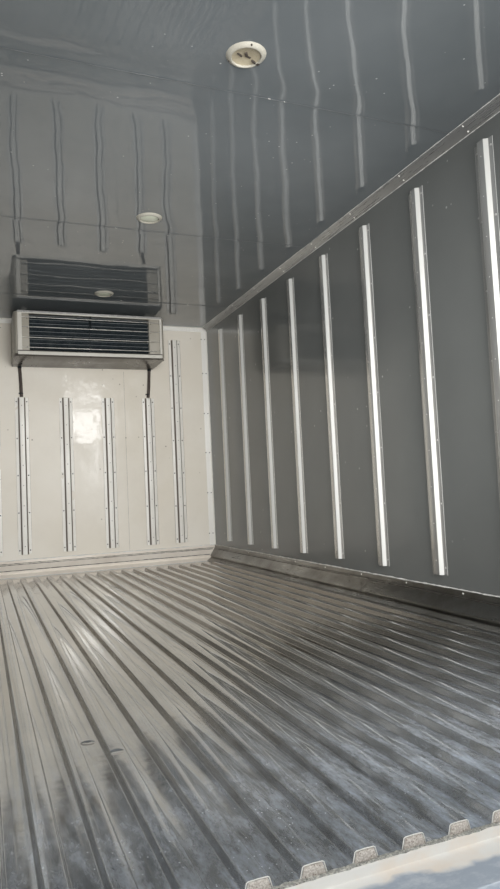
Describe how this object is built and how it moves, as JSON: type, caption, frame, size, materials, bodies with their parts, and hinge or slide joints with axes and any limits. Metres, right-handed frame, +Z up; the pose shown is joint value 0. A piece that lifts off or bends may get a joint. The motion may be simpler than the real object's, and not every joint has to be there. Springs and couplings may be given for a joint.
{
  "type": "refrigerated truck body",
  "caption": "Insulated box body of a refrigerated truck with ribbed floor, wall strips, ceiling evaporator, rear doors and front condensing unit.",
  "frame": {"origin": "middle of the bounding box, on the plane that the two long sills rest on", "axes": "+X right, +Y forward towards the cab, +Z up"},
  "size_m": [2.5844, 5.173, 2.377],
  "materials": {
    "painted_steel": "black chassis paint",
    "white_skin": "white outer skins, grey sheet metal linings",
    "aluminium_rail": "satin anodised",
    "floor_steel": "scuffed stainless sheet",
    "plug_filler": "speckled dirty filler",
    "strip_metal": "bright rolled strip",
    "trim_metal": "satin trim",
    "kick_metal": "worn extrusion",
    "lamp_plastic": "yellowed cream",
    "frame_steel": "brushed stainless",
    "sill_steel": "scuffed stainless",
    "black_rubber": "matt rubber",
    "bright_steel": "polished stainless hardware",
    "unit_metal": "light grey sheet",
    "coil_fins": "dirty fins",
    "guard_wire": "plated wire",
    "dark_plastic": "matt black",
    "hose_rubber": "dusty grey brown",
    "cover_plastic": "white moulding"
  },
  "bodies": {
    "box": {"bottom_rails": "aluminium_rail", "buffers": "black_rubber", "ceiling_lamps": "lamp_plastic", "condenser_base": "cover_plastic", "condenser_coil": "coil_fins", "condenser_cover": "cover_plastic", "condenser_guards": "dark_plastic", "condenser_motors": "dark_plastic", "corner_trims": "trim_metal", "cove_trims": "trim_metal", "cross_members": "painted_steel", "door_holdbacks": "black_rubber", "drain_hoses": "hose_rubber", "evaporator_coil": "coil_fins", "evaporator_ends": "unit_metal", "evaporator_guard": "guard_wire", "evaporator_hangers": "unit_metal", "evaporator_louvres": "dark_plastic", "evaporator_motors": "dark_plastic", "evaporator_pan": "unit_metal", "evaporator_top": "unit_metal", "floor_plate": "floor_steel", "floor_slab": "white_skin", "front_corner_posts": "aluminium_rail", "front_strips": "strip_metal", "front_wall": "white_skin", "hinge_brackets": "bright_steel", "hinge_pins": "bright_steel", "kick_rail_front": "kick_metal", "kick_rail_left": "kick_metal", "kick_rail_right": "kick_metal", "lock_keepers": "bright_steel", "main_sills": "painted_steel", "rear_header": "frame_steel", "rear_post_left": "frame_steel", "rear_post_right": "frame_steel", "rear_sill": "sill_steel", "rib_end_plugs": "plug_filler", "roof_panel": "white_skin", "roof_rails": "aluminium_rail", "side_wall_left": "white_skin", "side_wall_right": "white_skin", "wall_strips_left": "strip_metal", "wall_strips_right": "strip_metal"},
    "door_right": {"door_right": "white_skin", "door_seal_right": "black_rubber", "door_straps_right": "bright_steel", "lock_gear_right": "bright_steel"},
    "door_left": {"door_left": "white_skin", "door_seal_left": "black_rubber", "door_straps_left": "bright_steel", "lock_gear_left": "bright_steel"},
    "evaporator_fan_left": {"evaporator_fan_left": "dark_plastic"},
    "evaporator_fan_right": {"evaporator_fan_right": "dark_plastic"},
    "condenser_fan_left": {"condenser_fan_left": "dark_plastic"},
    "condenser_fan_right": {"condenser_fan_right": "dark_plastic"}
  },
  "joints": [
    {"name": "door_right_hinge", "type": "hinge", "parent": "box", "child": "door_right", "pos_m": [1.125, -2.5635, 1.277], "axis": [0, 0, 1], "range_deg": [-267, 0]},
    {"name": "door_left_hinge", "type": "hinge", "parent": "box", "child": "door_left", "pos_m": [-1.125, -2.5635, 1.277], "axis": [0, 0, 1], "range_deg": [0, 267]},
    {"name": "evaporator_fan_left_spin", "type": "hinge", "parent": "box", "child": "evaporator_fan_left", "pos_m": [-0.255, 1.8435, 2.093], "axis": [0, 1, 0], "continuous": true},
    {"name": "evaporator_fan_right_spin", "type": "hinge", "parent": "box", "child": "evaporator_fan_right", "pos_m": [0.19, 1.8435, 2.093], "axis": [0, 1, 0], "continuous": true},
    {"name": "condenser_fan_left_spin", "type": "hinge", "parent": "box", "child": "condenser_fan_left", "pos_m": [-0.33, 2.4765, 1.932], "axis": [0, 1, 0], "continuous": true},
    {"name": "condenser_fan_right_spin", "type": "hinge", "parent": "box", "child": "condenser_fan_right", "pos_m": [0.33, 2.4765, 1.932], "axis": [0, 1, 0], "continuous": true}
  ]
}
